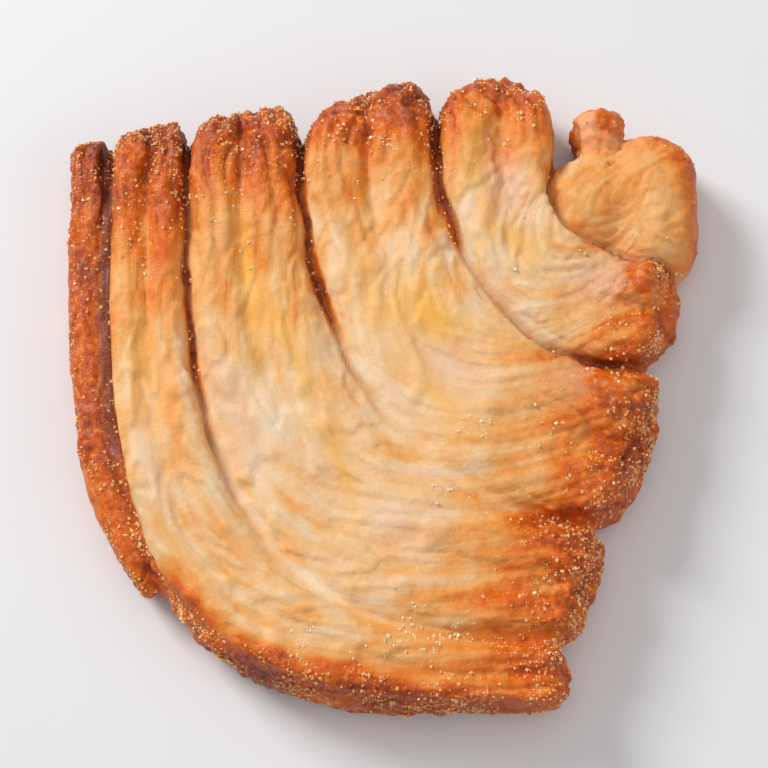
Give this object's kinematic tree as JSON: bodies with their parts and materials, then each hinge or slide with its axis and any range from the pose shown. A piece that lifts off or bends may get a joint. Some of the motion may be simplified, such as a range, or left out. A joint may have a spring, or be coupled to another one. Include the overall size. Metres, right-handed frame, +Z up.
{
  "type": "palmier pastry",
  "caption": "Fan-shaped palmier of folded puff pastry: long dough folds bend round an inner corner, with rounded tips along the back and right edges, and a flat baked underside.",
  "frame": {"origin": "centre of the bounding box in plan, at the level of the flat underside", "axes": "+Z up through the thickness; +Y towards the back row of tips; +X towards the right row of tips; the inner corner is at +X +Y"},
  "size_m": [0.0744, 0.0754, 0.012],
  "materials": {
    "baked_pastry": "baked puff pastry, pale to golden on top and browned at the tips, with a thin glaze of baked sugar"
  },
  "bodies": {
    "root": {"palmier": "baked_pastry"}
  },
  "joints": []
}
